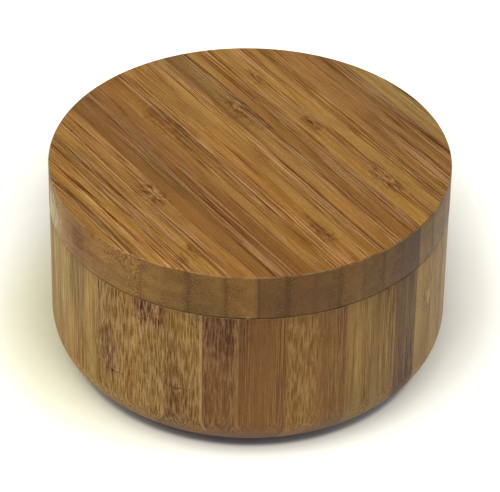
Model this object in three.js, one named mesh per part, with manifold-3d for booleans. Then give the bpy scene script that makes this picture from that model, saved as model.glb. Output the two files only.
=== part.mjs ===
// Round shaving pot of laminated bamboo: a turned bowl for the soap and a flat lid that swivels aside
// on a steel pin in the bowl's wall. Millimetres, +Z up, origin at the middle of the underside.
// +X is the direction in which the lid's strips are stacked, and the pin stands at +Y.

import * as THREE from 'three';
import { mergeVertices } from 'three/addons/utils/BufferGeometryUtils.js';
import Module from 'manifold-3d';

// Bowl
const BODY_RADIUS = 50.9;
const BODY_HEIGHT = 45.3;
const WALL = 9.9;
const FLOOR = 9;
const CORNER_REACH = 16.5; // how far in from the wall the rounded lower corner starts
const CORNER_RISE = 13.5; // how high above the table the corner ends
const INNER_CORNER = 12;
const RIM_EASE = 0.25;

// Lid
const LID_OVERHANG = 0.1;
const LID_THICKNESS = 12.4;
const LID_TOP_EASE = 0.4;
const LID_BOTTOM_EASE = 0.2;
const SEAT_GAP = 0.2; // running gap between the lid and the rim

// Lamination: equal strips in the lid, planed plies of uneven thickness in the bowl
const STRIP_WIDTH = 6.5;
const LEFT_SHARE = 0.44; // of the width that is left for the lid's two outermost strips, the -X one's part
const FIRST_PLIES = [7.9, 7.6, 7.7, 7.6, 7.5, 7.7, 7.3, 8.2, 8.0, 7.4]; // from the -X side
const PLY_WIDTH = 7.6; // every ply after those
const LEAST_WIDTH = 3; // a thinner outermost ply stays part of its neighbour

// Pivot and catch
const PIN_RADIUS = 2;
const PIN_IN_LID = 9;
const PIN_IN_BODY = 18;
const PIN_CLEARANCE = 0.05;
const MAGNET_RADIUS = 3;
const MAGNET_THICKNESS = 3;
const POCKET_CLEARANCE = 0.1;
const END_CLEARANCE = 0.3;

// How far drills and saw cuts reach past the wood
const OVERRUN = 1;

// Facets
const ROUND_SIDES = 96;
const SMALL_SIDES = 24;
const CORNER_STEPS = 7;
const EASE_STEPS = 2;

const BODY_TONES = [
  'tan', 'honey', 'russet', 'chestnut', 'honey', 'chestnut', 'tan', 'tan', 'walnut', 'straw', 'tan', 'honey',
  'chestnut',
];
const LID_TONES = [
  'honey', 'amber', 'amber', 'straw', 'walnut', 'russet', 'chestnut', 'straw', 'straw', 'olive', 'tan', 'honey',
  'honey', 'tan', 'russet', 'straw',
];
const BAMBOO_COLOURS = {
  straw: 0xa7783f,
  honey: 0x9c6f3a,
  tan: 0x936a3c,
  amber: 0x9b6d36,
  olive: 0x8d6536,
  chestnut: 0x87602f,
  russet: 0x7d5432,
  walnut: 0x6e5238,
};

const wasm = await Module();
wasm.setup();

// A closed three.js geometry as a solid. Triangles that shrink to a line at the axis are left out.
function solidOf(geometry) {
  const bare = geometry.clone();
  bare.deleteAttribute('normal');
  bare.deleteAttribute('uv');
  const merged = mergeVertices(bare);
  const index = merged.index.array;
  const kept = [];
  for (let i = 0; i < index.length; i += 3) {
    const [a, b, c] = [index[i], index[i + 1], index[i + 2]];
    if (a !== b && b !== c && c !== a) kept.push(a, b, c);
  }
  const mesh = new wasm.Mesh({
    numProp: 3,
    vertProperties: new Float32Array(merged.attributes.position.array),
    triVerts: new Uint32Array(kept),
  });
  return new wasm.Manifold(mesh);
}

function geometryOf(solid) {
  const { vertProperties, triVerts } = solid.getMesh();
  const geometry = new THREE.BufferGeometry();
  geometry.setAttribute('position', new THREE.BufferAttribute(new Float32Array(vertProperties), 3));
  geometry.setIndex(new THREE.BufferAttribute(new Uint32Array(triVerts), 1));
  geometry.computeVertexNormals();
  return geometry;
}

// Points on a quarter ellipse from one angle to another, both in degrees, as seen in the profile.
function arc(centreX, centreZ, reach, rise, from, to, steps) {
  const points = [];
  for (let i = 0; i <= steps; i += 1) {
    const angle = THREE.MathUtils.degToRad(THREE.MathUtils.lerp(from, to, i / steps));
    points.push(new THREE.Vector2(centreX + reach * Math.cos(angle), centreZ + rise * Math.sin(angle)));
  }
  return points;
}

// A profile of (radius, height) points turned about the Z axis.
function turned(profile, sides) {
  return new THREE.LatheGeometry(profile, sides).rotateX(Math.PI / 2);
}

function cylinder(radius, bottom, top, x, y) {
  const profile = [
    new THREE.Vector2(0, bottom),
    new THREE.Vector2(radius, bottom),
    new THREE.Vector2(radius, top),
    new THREE.Vector2(0, top),
  ];
  return turned(profile, SMALL_SIDES).translate(x, y, 0);
}

// Heights and places that the pieces share
const LID_RADIUS = BODY_RADIUS + LID_OVERHANG;
const LID_BOTTOM = BODY_HEIGHT + SEAT_GAP;
const LID_TOP = LID_BOTTOM + LID_THICKNESS;
const BORE_RADIUS = BODY_RADIUS - WALL;
const PIVOT_Y = BODY_RADIUS - WALL / 2;
const CATCH_Y = -PIVOT_Y;
const PIN_BOTTOM = BODY_HEIGHT - PIN_IN_BODY;
const PIN_TOP = LID_BOTTOM + PIN_IN_LID;

// The bowl's outline: flat foot, wide rounded corner, upright wall, eased rim and rounded hollow.
function bowlProfile() {
  const inner = Math.min(INNER_CORNER, BORE_RADIUS, BODY_HEIGHT - RIM_EASE - FLOOR);
  return [
    new THREE.Vector2(0, 0),
    ...arc(BODY_RADIUS - CORNER_REACH, CORNER_RISE, CORNER_REACH, CORNER_RISE, -90, 0, CORNER_STEPS),
    ...arc(BODY_RADIUS - RIM_EASE, BODY_HEIGHT - RIM_EASE, RIM_EASE, RIM_EASE, 0, 90, EASE_STEPS),
    ...arc(BORE_RADIUS + RIM_EASE, BODY_HEIGHT - RIM_EASE, RIM_EASE, RIM_EASE, 90, 180, EASE_STEPS),
    ...arc(BORE_RADIUS - inner, FLOOR + inner, inner, inner, 0, -90, CORNER_STEPS),
    new THREE.Vector2(0, FLOOR),
  ];
}

function lidProfile() {
  const low = LID_BOTTOM + LID_BOTTOM_EASE;
  const high = LID_TOP - LID_TOP_EASE;
  return [
    new THREE.Vector2(0, LID_BOTTOM),
    ...arc(LID_RADIUS - LID_BOTTOM_EASE, low, LID_BOTTOM_EASE, LID_BOTTOM_EASE, -90, 0, EASE_STEPS),
    ...arc(LID_RADIUS - LID_TOP_EASE, high, LID_TOP_EASE, LID_TOP_EASE, 0, 90, EASE_STEPS),
    new THREE.Vector2(0, LID_TOP),
  ];
}

// Seams across the lid: whole strips in the middle, and what is left shared by the outermost two.
function lidSeams() {
  const whole = Math.round((2 * LID_RADIUS) / STRIP_WIDTH) - 2;
  const first = -LID_RADIUS + LEFT_SHARE * (2 * LID_RADIUS - whole * STRIP_WIDTH);
  const seams = [-LID_RADIUS];
  for (let i = 0; i <= whole; i += 1) {
    seams.push(first + i * STRIP_WIDTH);
  }
  seams.push(LID_RADIUS);
  return seams;
}

// Seams across the bowl, one ply after another, with no sliver at the end.
function bodySeams() {
  const seams = [-BODY_RADIUS];
  for (let i = 0; seams[i] < BODY_RADIUS; i += 1) {
    const next = seams[i] + (FIRST_PLIES[i] ?? PLY_WIDTH);
    seams.push(next < BODY_RADIUS - LEAST_WIDTH ? next : BODY_RADIUS);
  }
  return seams;
}

// One glued layer of a blank: all of it between two seams.
function layer(blank, from, to, top, bottom) {
  const side = 2 * (LID_RADIUS + OVERRUN);
  const height = top - bottom + 2 * OVERRUN;
  const box = new THREE.BoxGeometry(to - from, side, height);
  box.translate((from + to) / 2, 0, (top + bottom) / 2);
  return blank.intersect(solidOf(box));
}

function bamboo(tone) {
  return new THREE.MeshStandardMaterial({ color: BAMBOO_COLOURS[tone], roughness: 0.5, metalness: 0 });
}

function addLayers(group, blank, seams, tones, name, top, bottom) {
  for (let i = 0; i + 1 < seams.length; i += 1) {
    const piece = layer(blank, seams[i], seams[i + 1], top, bottom);
    const mesh = new THREE.Mesh(geometryOf(piece), bamboo(tones[i % tones.length]));
    mesh.name = `${name}_${String(i + 1).padStart(2, '0')}`;
    group.add(mesh);
  }
}

function addMetal(group, name, geometry, material) {
  const mesh = new THREE.Mesh(geometryOf(solidOf(geometry)), material);
  mesh.name = name;
  group.add(mesh);
}

const steel = new THREE.MeshStandardMaterial({ color: 0xb4b6b8, roughness: 0.3, metalness: 1 });
const nickel = new THREE.MeshStandardMaterial({ color: 0xc9c8c4, roughness: 0.2, metalness: 1 });

// The bowl: the turned blank with a bore for the pin and a pocket for its magnet, then cut into plies.
function makeBowl() {
  const bowl = new THREE.Group();
  const pinBore = PIN_RADIUS + PIN_CLEARANCE;
  const pocket = MAGNET_RADIUS + POCKET_CLEARANCE;
  const pocketFloor = BODY_HEIGHT - MAGNET_THICKNESS - END_CLEARANCE;
  const blank = solidOf(turned(bowlProfile(), ROUND_SIDES))
    .subtract(solidOf(cylinder(pinBore, PIN_BOTTOM - END_CLEARANCE, BODY_HEIGHT + OVERRUN, 0, PIVOT_Y)))
    .subtract(solidOf(cylinder(pocket, pocketFloor, BODY_HEIGHT + OVERRUN, 0, CATCH_Y)));
  addLayers(bowl, blank, bodySeams(), BODY_TONES, 'body_ply', BODY_HEIGHT, 0);
  const magnet = cylinder(MAGNET_RADIUS, BODY_HEIGHT - MAGNET_THICKNESS, BODY_HEIGHT, 0, CATCH_Y);
  addMetal(bowl, 'body_magnet', magnet, nickel);
  return bowl;
}

// The lid: a flat disc bored from below for the pin and the other magnet, then cut into strips.
function makeLid() {
  const lid = new THREE.Group();
  const pinBore = PIN_RADIUS + PIN_CLEARANCE;
  const pocket = MAGNET_RADIUS + POCKET_CLEARANCE;
  const pocketTop = LID_BOTTOM + MAGNET_THICKNESS + END_CLEARANCE;
  const blank = solidOf(turned(lidProfile(), ROUND_SIDES))
    .subtract(solidOf(cylinder(pinBore, LID_BOTTOM - OVERRUN, PIN_TOP + END_CLEARANCE, 0, PIVOT_Y)))
    .subtract(solidOf(cylinder(pocket, LID_BOTTOM - OVERRUN, pocketTop, 0, CATCH_Y)));
  addLayers(lid, blank, lidSeams(), LID_TONES, 'lid_strip', LID_TOP, LID_BOTTOM);
  addMetal(lid, 'pivot_pin', cylinder(PIN_RADIUS, PIN_BOTTOM, PIN_TOP, 0, PIVOT_Y), steel);
  const magnet = cylinder(MAGNET_RADIUS, LID_BOTTOM, LID_BOTTOM + MAGNET_THICKNESS, 0, CATCH_Y);
  addMetal(lid, 'lid_magnet', magnet, nickel);
  return lid;
}

const pot = new THREE.Group();
pot.add(makeBowl(), makeLid());

export default pot;
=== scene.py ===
"""Looks of the lidded bamboo pot: its turned and sawn bowl and lid, its pin, its magnets and the studio."""

import logging
import math
from dataclasses import dataclass, field
from enum import Enum

import bpy
from mathutils import Matrix, Vector


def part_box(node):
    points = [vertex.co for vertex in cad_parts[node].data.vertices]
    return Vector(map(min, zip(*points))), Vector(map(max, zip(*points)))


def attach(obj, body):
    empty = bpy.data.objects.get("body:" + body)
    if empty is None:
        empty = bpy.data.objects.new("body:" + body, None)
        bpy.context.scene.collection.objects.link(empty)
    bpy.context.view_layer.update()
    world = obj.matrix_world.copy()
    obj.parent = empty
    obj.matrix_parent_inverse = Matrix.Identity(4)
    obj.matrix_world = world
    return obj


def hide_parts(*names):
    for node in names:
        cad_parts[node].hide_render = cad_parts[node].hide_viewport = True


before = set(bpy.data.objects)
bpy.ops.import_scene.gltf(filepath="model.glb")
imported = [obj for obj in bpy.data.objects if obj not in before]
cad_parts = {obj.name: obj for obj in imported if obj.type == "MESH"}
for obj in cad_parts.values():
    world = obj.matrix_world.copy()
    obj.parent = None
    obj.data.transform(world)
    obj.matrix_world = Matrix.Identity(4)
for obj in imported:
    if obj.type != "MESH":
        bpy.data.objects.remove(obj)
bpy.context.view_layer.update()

LOG = logging.getLogger("pot")

MM = 0.001
WELD = 0.002 * MM
FLAT = math.radians(0.03)
LEVEL = 0.001 * MM
PALE_SHARES = (1.22, 1.28, 1.48)
DEEP_SHARES = (0.79, 0.71, 0.38)
Point = tuple[float, float]
Triple = tuple[float, float, float]
Colour = tuple[float, float, float]
Socket = bpy.types.NodeSocket
Value = Socket | float | Triple
Axes = tuple[Socket, ...]


def srgb(code: str) -> Colour:
    """Linear colour of a six-digit hex code."""
    values = [int(code[i : i + 2], 16) / 255 for i in (0, 2, 4)]
    return tuple(v / 12.92 if v <= 0.04045 else ((v + 0.055) / 1.055) ** 2.4 for v in values)


class Fibre(Enum):
    """Which way the bamboo's fibres run in a blank, by the number of the axis."""

    ALONG_LID = 1
    UPRIGHT = 2


class Tone(Enum):
    """Shades of carbonised bamboo, each the middle one of a piece."""

    STRAW = "a37632"
    HONEY = "9c702e"
    AMBER = "97682a"
    TAN = "946f32"
    OLIVE = "8d6528"
    CHESTNUT = "8e6226"
    RUSSET = "8a5b21"
    WALNUT = "775222"
    ASH = "95743b"
    SAGE = "9b7f3f"
    LICHEN = "9d8746"

    def pale(self, shade: float) -> Colour:
        """The colour of the soft ground between the fibres, at a share of the tone."""
        return tuple(v * shade * share for v, share in zip(srgb(self.value), PALE_SHARES))

    def deep(self, shade: float) -> Colour:
        """The colour of the dense bands, at a share of the tone."""
        return tuple(v * shade * share for v, share in zip(srgb(self.value), DEEP_SHARES))


@dataclass(frozen=True)
class Knot:
    """A node, stain, dark joint or pale spot, as an ellipsoid in the part's own frame, in millimetres.

    Attributes:
        at: its middle.
        size: its full size along X, Y and Z.
        depth: how dark it is, 0 to 1.
        heart: how pale its middle is, 0 to 1; on one knot of the lid this pale middle is a painted highlight.
        crack: how dark the crack across the fibres is, 0 to 1.
        churn: how much it turns the fibres aside, 0 to 1.
    """

    at: Triple
    size: Triple
    depth: float = 0.5
    heart: float = 0.0
    crack: float = 0.0
    churn: float = 0.7


@dataclass(frozen=True)
class Grain:
    """How one strip of bamboo looks.

    Attributes:
        tone: its shade at the back end, or the top of a ply.
        far_tone: its shade at the other end, the same one if left out.
        shade: how light it is beside its tone.
        dash: 0 for long lines, 1 for short dashes.
        contrast: strength of the lines.
        skin: where the culm's skin was and lines crowd: 1 is the +X side, -1 the -X side, less is in between.
        end: how light its end grain is.
        rind: how pale the line is along its joint towards the front, which the first strip of a layer hasn't.
        knots: the nodes and stains that show in it.
    """

    tone: Tone
    far_tone: Tone | None = None
    shade: float = 1.0
    dash: float = 0.0
    contrast: float = 1.0
    skin: float = 1.0
    end: float = 1.0
    rind: float = 0.0
    knots: tuple[Knot, ...] = ()


@dataclass(frozen=True)
class Layer:
    """One lid strip, or a ply pressed from strips that lie edge to edge, from the pot's front to its back.

    Attributes:
        grains: how each strip looks that the photograph shows.
        edges: where each next one of them starts, in millimetres along Y.
        backing: where the strips behind them start, which are all alike in width.
    """

    grains: tuple[Grain, ...]
    edges: tuple[float, ...] = ()
    backing: float | None = None

    BACKING_WIDTH = 6.2


class ShaderSheet:
    """Adds nodes to a node tree and links them, with short calls for the usual ones."""

    BUMP_STRENGTH = 0.5

    def __init__(self, tree: bpy.types.NodeTree) -> None:
        """Keeps the tree that the nodes go to.

        Args:
            tree: a material's or a group's node tree.
        """
        self.tree = tree

    @classmethod
    def material(cls, name: str) -> tuple:
        """A new material that is to be drawn on.

        Args:
            name: the material's name.

        Returns:
            The material, its sheet and the inputs of its shader.
        """
        made = bpy.data.materials.new(name)
        made.use_nodes = True
        return made, cls(made.node_tree), made.node_tree.nodes["Principled BSDF"].inputs

    def node(self, kind: str, **settings: object) -> bpy.types.Node:
        """A node of a kind, with its settings.

        Args:
            kind: the node's class name after "ShaderNode".
            settings: attributes to set on it.

        Returns:
            The new node.
        """
        made = self.tree.nodes.new("ShaderNode" + kind)
        for name, value in settings.items():
            setattr(made, name, value)
        return made

    def feed(self, socket: Socket, source: Value) -> None:
        """Sets a socket to a number or colour, or links it to an output.

        Args:
            socket: the input.
            source: the number, colour, vector or output.
        """
        if isinstance(source, Socket):
            self.tree.links.new(source, socket)
        elif isinstance(source, (tuple, list, Vector)) and len(socket.default_value) == 4:
            socket.default_value = (*source, 1.0)
        else:
            socket.default_value = source

    def fed(self, made: bpy.types.Node, sources: dict, output: int | str = 0) -> Socket:
        """Feeds a node.

        Args:
            made: the node.
            sources: what to feed each input with, by its number or name.
            output: number or name of the output that is wanted.

        Returns:
            The output.
        """
        for name, source in sources.items():
            self.feed(made.inputs[name], source)
        return made.outputs[output]

    def math(self, operation: str, a: Value, b: Value = 0.0, clamp: bool = False) -> Socket:
        """The result of a Math node.

        Args:
            operation: the node's operation.
            a: first input, a number or an output.
            b: second input, where the operation has one.
            clamp: whether the result is kept between 0 and 1.

        Returns:
            The value output.
        """
        return self.fed(self.node("Math", operation=operation, use_clamp=clamp), {0: a, 1: b})

    def total(self, *terms: Value, clamp: bool = False) -> Socket:
        """A sum.

        Args:
            terms: numbers and outputs.
            clamp: whether the sum is kept between 0 and 1.

        Returns:
            The sum's output.
        """
        result = terms[0]
        for term in terms[1:-1]:
            result = self.math("ADD", result, term)
        return self.math("ADD", result, terms[-1], clamp=clamp)

    def times(self, a: Value, b: Value) -> Socket:
        """The product of two numbers or outputs."""
        return self.math("MULTIPLY", a, b)

    def less(self, a: Value, b: Value) -> Socket:
        """The first of two numbers or outputs less the second."""
        return self.math("SUBTRACT", a, b)

    def most(self, a: Value, b: Value) -> Socket:
        """The larger of two numbers or outputs."""
        return self.math("MAXIMUM", a, b)

    def vector(self, operation: str, a: Value, b: Value) -> Socket:
        """The result of a Vector Math node.

        Args:
            operation: the node's operation.
            a: first input, a vector or an output.
            b: second input, which is a number for a scaled vector.

        Returns:
            The vector output.
        """
        second = 3 if operation == "SCALE" else 1
        return self.fed(self.node("VectorMath", operation=operation), {0: a, second: b})

    def scaled(self, vector: Value, share: Value) -> Socket:
        """A vector or colour times a number or output."""
        return self.vector("SCALE", vector, share)

    def length(self, vector: Value) -> Socket:
        """How long a vector is, as an output."""
        return self.fed(self.node("VectorMath", operation="LENGTH"), {0: vector}, "Value")

    def split(self, vector: Value) -> Axes:
        """The three components of a vector, as outputs."""
        made = self.node("SeparateXYZ")
        return self.fed(made, {0: vector}), made.outputs[1], made.outputs[2]

    def join(self, x: Value, y: Value, z: Value) -> Socket:
        """A vector from three components."""
        return self.fed(self.node("CombineXYZ"), {0: x, 1: y, 2: z})

    def noise(
        self, place: Value, scale: Triple, detail: float = 2.0, rough: float = 0.5, output: str = "Fac"
    ) -> Socket:
        """A 3-D noise, about 0.3 to 0.7 over most of its area.

        Args:
            place: where it is read.
            scale: features per millimetre along X, Y and Z.
            detail: octaves.
            rough: how strong the finer octaves are.
            output: "Fac" for one number, "Color" for three.

        Returns:
            The output.
        """
        made = self.node("TexNoise", noise_dimensions="3D")
        place = self.vector("MULTIPLY", place, scale)
        return self.fed(made, {"Vector": place, "Scale": 1.0, "Detail": detail, "Roughness": rough}, output)

    def cells(self, place: Value, scale: Triple) -> Socket:
        """How far a place is from the nearest of many scattered points, 0 to about 1.

        Args:
            place: where it is read.
            scale: points per millimetre along X, Y and Z.

        Returns:
            The distance's output.
        """
        made = self.node("TexVoronoi", voronoi_dimensions="3D", feature="F1")
        return self.fed(made, {"Vector": self.vector("MULTIPLY", place, scale), "Scale": 1.0}, "Distance")

    def between(
        self, value: Value, low: Value, high: Value, to_low: Value = 0.0, to_high: Value = 1.0
    ) -> Socket:
        """A smooth step of a value from one range to another.

        Args:
            value: the input.
            low: where the step starts.
            high: where it ends.
            to_low: the result before the start.
            to_high: the result after the end.

        Returns:
            The result's output.
        """
        made = self.node("MapRange", interpolation_type="SMOOTHSTEP", clamp=True)
        return self.fed(made, {0: value, 1: low, 2: high, 3: to_low, 4: to_high})

    def lean(self, share: Value, a: Value, b: Value) -> Socket:
        """Two numbers mixed by the share of the second."""
        return self.fed(self.node("Mix", data_type="FLOAT"), {0: share, 2: a, 3: b})

    def mix(self, share: Value, a: Value, b: Value, blend: str = "MIX") -> Socket:
        """Two colours mixed.

        Args:
            share: how much of the second colour.
            a: first colour.
            b: second colour.
            blend: the blend type.

        Returns:
            The colour output.
        """
        return self.fed(self.node("Mix", data_type="RGBA", blend_type=blend), {0: share, 6: a, 7: b}, 2)

    def tint(self, share: Value, colour: Value, code: str) -> Socket:
        """A share of a colour multiplied by a hex code's colour."""
        return self.mix(share, colour, srgb(code), "MULTIPLY")

    def bump(self, height: Value, depth: float) -> Socket:
        """The normal of a surface with a relief.

        Args:
            height: the relief's output.
            depth: its depth, in metres.

        Returns:
            The normal's output.
        """
        sources = {"Strength": self.BUMP_STRENGTH, "Distance": depth, "Height": height}
        return self.fed(self.node("Bump"), sources)


class BambooFigure:
    """The figure of bamboo in fibre space, as a group that each piece feeds.

    Fibre space is in millimetres with the fibres along Z. The bundles are seen as lines or dashes on a face
    along the fibres and as dots on end grain, because all of it is one solid pattern. A noise is named with
    its scale, octaves and roughness, and cells with their scale alone.
    """

    NAME = "bamboo_figure"
    INPUTS = {
        "Vector": ("Place",),
        "Color": ("Pale", "Deep", "End tint"),
        "Float": ("Dash", "Contrast", "Skin", "Stain", "Churn", "End grain", "End shade", "End marks"),
    }
    OUTPUTS = {"Color": ("Colour",), "Float": ("Height", "Roughness", "Sheen")}

    LONG_BENDS = (0.35, 0.045)
    SHORT_BENDS = (0.5, 0.12)
    SWIRL = 1.6
    FLECKS = ((4.5, 4.5, 1.4), 2.0, 0.65)
    CROWD = ((0.5, 0.5, 0.018),)
    STREAKS = ((3.6, 3.6, 0.028), 2.0, 0.65)
    HAIRS = ((6.5, 6.5, 0.08), 1.0)
    TICKS = ((5.2, 5.2, 0.5), 1.0)
    BUNDLES = (2.7, 2.7, 0.045)
    STROKES = (2.5, 2.5, 0.22)
    FINE_BANDS = ((1.1, 1.1, 0.02), 3.0, 0.6)
    BROAD_BANDS = ((0.36, 0.36, 0.012),)
    CLOUDS = ((0.18, 0.18, 0.05), 3.0, 0.55)
    SHADES = ((0.13, 0.13, 0.035),)
    CROSSED = ((1.6, 1.6, 0.5), 3.0, 0.65)

    INK = "a87c28"
    INK_DEPTH = 0.93
    GLEAM = "ffd79c"
    GLEAM_DEPTH = 0.23
    DOWN = "d2a05c"
    MATT = 0.1
    SCORCH = "b1946a"
    FEATHER = "c49c60"
    RUDDY = "f9efe8"
    GREENISH = "f6f7ec"
    END_SKIN = 0.86

    def __init__(self) -> None:
        """Makes the group, with its inputs and outputs."""
        self.tree = bpy.data.node_groups.new(self.NAME, "ShaderNodeTree")
        for side, sockets in (("INPUT", self.INPUTS), ("OUTPUT", self.OUTPUTS)):
            for kind, names in sockets.items():
                for name in names:
                    self.tree.interface.new_socket(name, in_out=side, socket_type="NodeSocket" + kind)
        self.sheet = ShaderSheet(self.tree)
        self.given = self.tree.nodes.new("NodeGroupInput").outputs

    def build(self) -> bpy.types.NodeTree:
        """Draws the figure.

        Returns:
            The group's node tree.
        """
        sheet, given = self.sheet, self.given
        result = self.tree.nodes.new("NodeGroupOutput").inputs
        straight = self.sway(*self.LONG_BENDS)
        ink, gleam = self.fibres(straight, self.sway(*self.SHORT_BENDS))
        fleck = sheet.noise(straight, *self.FLECKS)
        colour = self.scorched(self.mottled(self.ground(straight)))
        colour = sheet.tint(sheet.times(ink, self.INK_DEPTH), colour, self.INK)
        colour = sheet.mix(sheet.times(gleam, self.GLEAM_DEPTH), colour, srgb(self.GLEAM))
        end = given["End grain"]
        colour = sheet.scaled(colour, sheet.between(fleck, 0.25, 0.75, sheet.lean(end, 0.86, 0.75), 1.16))
        colour = sheet.mix(end, colour, given["End tint"], "MULTIPLY")
        edge = sheet.between(given["Skin"], 0.78, 1.0, 1.0, self.END_SKIN)
        colour = sheet.scaled(colour, sheet.lean(end, 1.0, sheet.times(given["End shade"], edge)))
        sheet.feed(result["Colour"], colour)
        sheet.feed(result["Height"], sheet.total(sheet.times(ink, -0.6), sheet.times(fleck, 0.5)))
        sheet.feed(result["Sheen"], sheet.lean(ink, 1.0, self.MATT))
        sheet.feed(result["Roughness"], sheet.lean(ink, sheet.between(fleck, 0.3, 0.7, 0.56, 0.46), 0.62))
        return self.tree

    def sway(self, reach: float, pace: float) -> Socket:
        """The place with the fibres' sideways wander.

        Args:
            reach: how far they wander, in millimetres, where nothing turns them aside.
            pace: how often they turn, per millimetre along them.

        Returns:
            The moved place.
        """
        sheet, place = self.sheet, self.given["Place"]
        reach = sheet.total(sheet.times(self.given["Churn"], self.SWIRL), reach)
        swing = sheet.noise(place, (0.11, 0.11, pace), 2.0, 0.5, "Color")
        swing = sheet.vector("SUBTRACT", swing, (0.5, 0.5, 0.5))
        return sheet.vector("ADD", place, sheet.vector("MULTIPLY", swing, sheet.join(reach, reach, 0.0)))

    def fibres(self, straight: Value, wavy: Value) -> tuple[Socket, Socket]:
        """The fibre bundles: long lines that crowd towards the culm's skin, or short dashes.

        Args:
            straight: the place, with long bends.
            wavy: the place, with short bends.

        Returns:
            How dark the bundles are and how light the lines between them, 0 to 1.
        """
        sheet, given = self.sheet, self.given
        crowd = sheet.total(sheet.noise(straight, *self.CROWD), sheet.times(given["Skin"], 0.3), -0.15)
        crowd = sheet.between(crowd, 0.43, 0.58)
        streaks = sheet.noise(straight, *self.STREAKS)
        hairs = sheet.noise(straight, *self.HAIRS)
        ticks = sheet.noise(wavy, *self.TICKS)
        strokes = sheet.cells(wavy, self.STROKES)
        bundles = sheet.less(sheet.cells(straight, self.BUNDLES), sheet.lean(crowd, 0.2, 0.38))
        bundles = sheet.between(bundles, 0.04, -0.05, 0.0, 0.85)
        open_share = sheet.lean(crowd, 0.15, 1.0)
        lines = sheet.most(sheet.between(streaks, 0.52, 0.60, 0.0, 0.75), sheet.between(hairs, 0.52, 0.62))
        lines = sheet.most(sheet.times(lines, open_share), bundles)
        dashes = sheet.most(sheet.between(strokes, 0.34, 0.26), sheet.between(ticks, 0.57, 0.65, 0.0, 0.8))
        pale = sheet.most(sheet.between(streaks, 0.48, 0.41), sheet.between(hairs, 0.47, 0.36, 0.0, 0.8))
        cut_short = sheet.total(given["Dash"], sheet.times(given["Churn"], 0.6), clamp=True)
        dark = sheet.lean(cut_short, lines, dashes)
        light = sheet.lean(cut_short, sheet.times(pale, open_share), sheet.between(strokes, 0.5, 0.7))
        strength = sheet.times(given["Contrast"], sheet.lean(given["End grain"], 1.0, given["End marks"]))
        return sheet.math("MULTIPLY", dark, strength, clamp=True), sheet.times(light, strength)

    def ground(self, straight: Value) -> Socket:
        """The colour between the bundles: soft streaks and broad bands, deeper towards the skin.

        Args:
            straight: the place, with long bends.

        Returns:
            The colour's output.
        """
        sheet, given = self.sheet, self.given
        end = given["End grain"]
        fine = sheet.between(sheet.noise(straight, *self.FINE_BANDS), 0.3, 0.7, -0.19, 0.19)
        broad = sheet.between(sheet.noise(straight, *self.BROAD_BANDS), 0.38, 0.62, -0.38, 0.38)
        change = sheet.times(sheet.total(fine, broad), given["Contrast"])
        change = sheet.times(change, sheet.lean(end, 1.0, 0.45))
        inner = sheet.times(given["Skin"], sheet.lean(end, 0.25, 0.38))
        share = sheet.total(change, inner, sheet.lean(end, 0.375, 0.31), clamp=True)
        return sheet.mix(share, given["Pale"], given["Deep"])

    def mottled(self, ground: Value) -> Socket:
        """The ground with ruddy and greenish clouds drawn out along the fibres.

        Args:
            ground: its colour without them.

        Returns:
            The colour's output.
        """
        sheet, place = self.sheet, self.given["Place"]
        cloud = sheet.noise(place, *self.CLOUDS)
        ground = sheet.tint(sheet.between(cloud, 0.45, 0.7), ground, self.RUDDY)
        ground = sheet.tint(sheet.between(cloud, 0.55, 0.3), ground, self.GREENISH)
        return sheet.scaled(ground, sheet.between(sheet.noise(place, *self.SHADES), 0.3, 0.7, 0.88, 1.12))

    def scorched(self, ground: Value) -> Socket:
        """The ground with its stains, and with dark and pale feathers where the fibres are turned aside.

        Args:
            ground: its colour without them.

        Returns:
            The colour's output.
        """
        sheet, given = self.sheet, self.given
        crossed = sheet.noise(given["Place"], *self.CROSSED)
        stain = sheet.times(given["Stain"], sheet.between(crossed, 0.35, 0.6, 0.6, 1.0))
        ground = sheet.tint(stain, ground, self.SCORCH)
        feather = sheet.times(given["Churn"], sheet.between(crossed, 0.49, 0.58))
        ground = sheet.tint(feather, ground, self.FEATHER)
        down = sheet.times(given["Churn"], sheet.between(crossed, 0.47, 0.37, 0.0, 0.4))
        return sheet.mix(down, ground, srgb(self.DOWN))


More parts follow.
